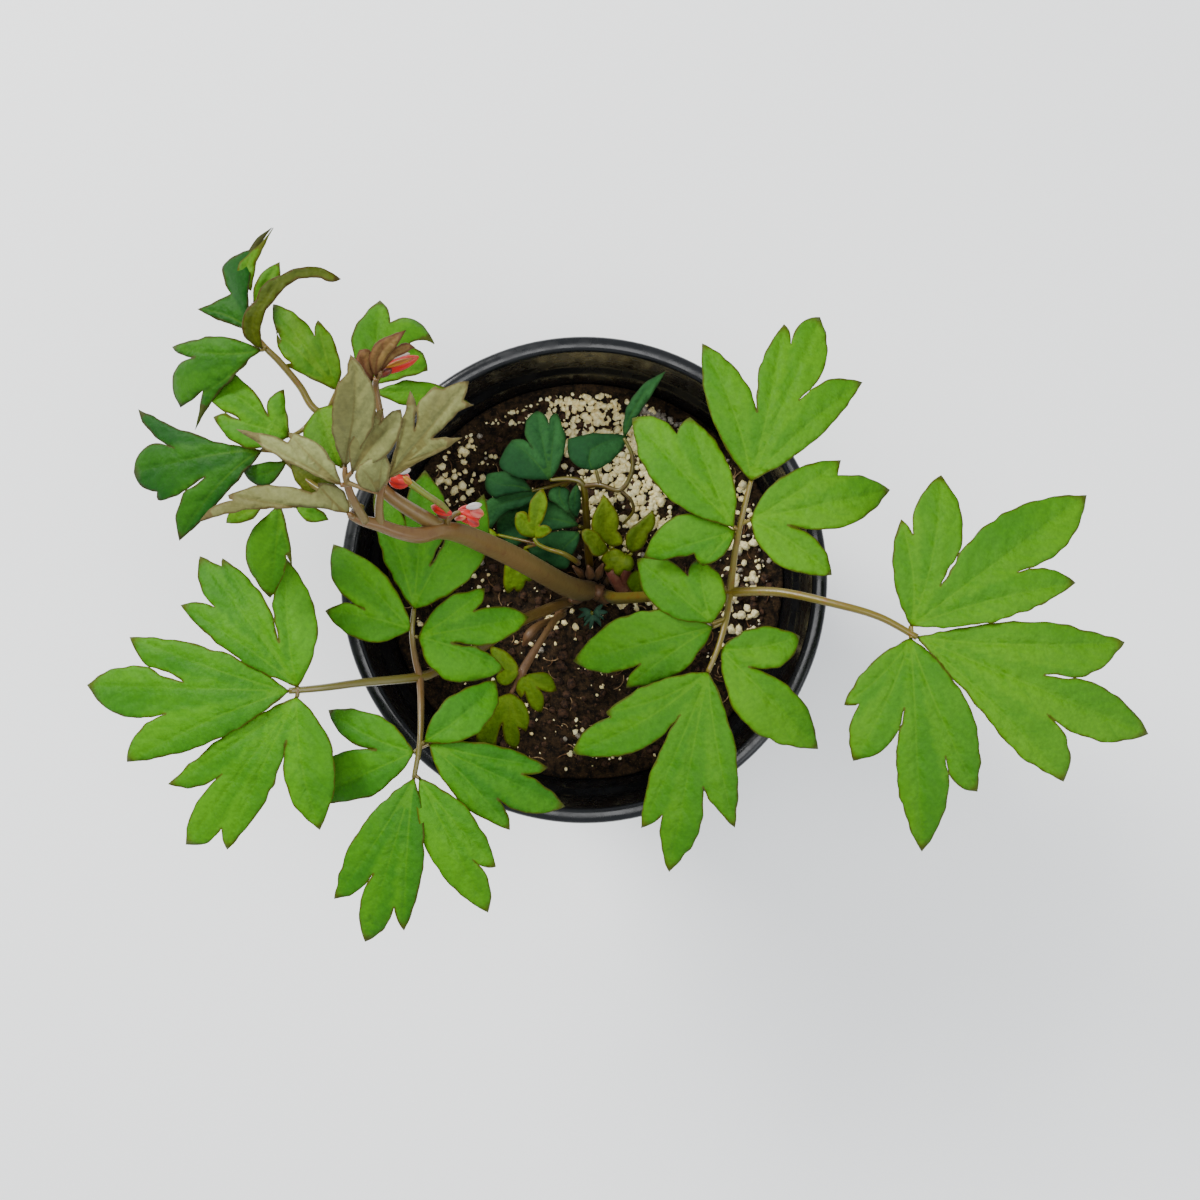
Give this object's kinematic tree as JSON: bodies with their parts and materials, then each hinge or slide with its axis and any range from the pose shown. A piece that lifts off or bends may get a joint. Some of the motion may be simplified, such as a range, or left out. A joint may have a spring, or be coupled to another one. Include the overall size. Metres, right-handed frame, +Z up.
{
  "type": "potted bleeding heart plant",
  "caption": "Young bleeding heart plant in a round black nursery pot, with cut leaves on long petioles and a few red flower buds.",
  "frame": {"origin": "centre of the pot's flat base, on the surface it stands on", "axes": "+Z up out of the pot; +X towards the long right leaf, which is the picture's right; +Y towards the picture's top"},
  "size_m": [0.3359, 0.2146, 0.292],
  "materials": {
    "pot_plastic": "glossy black",
    "soil": "crumbly",
    "stem_brown": "smooth",
    "leaf_green": "matt",
    "leaf_bronze": "matt",
    "leaf_deep": "matt",
    "leaf_lime": "matt",
    "petal_red": "satin"
  },
  "bodies": {
    "root": {"pot": "pot_plastic", "soil": "soil", "flowering_stem": "stem_brown", "right_leaf": "leaf_green", "left_leaf": "leaf_green", "bronze_leaf_middle": "leaf_bronze", "bronze_leaf_right": "leaf_bronze", "bronze_leaf_low": "leaf_bronze", "far_leaf": "leaf_green", "hanging_leaf": "leaf_green", "back_leaf": "leaf_green", "dark_leaf": "leaf_deep", "yellow_shoot": "leaf_lime", "olive_shoot": "leaf_lime", "low_shoot": "leaf_lime", "bud_scales": "stem_brown", "low_raceme": "stem_brown", "top_tuft": "leaf_bronze", "seedling": "leaf_deep", "top_bud": "petal_red", "middle_bud": "petal_red", "low_bud": "petal_red", "pointed_bud": "petal_red"}
  },
  "joints": []
}
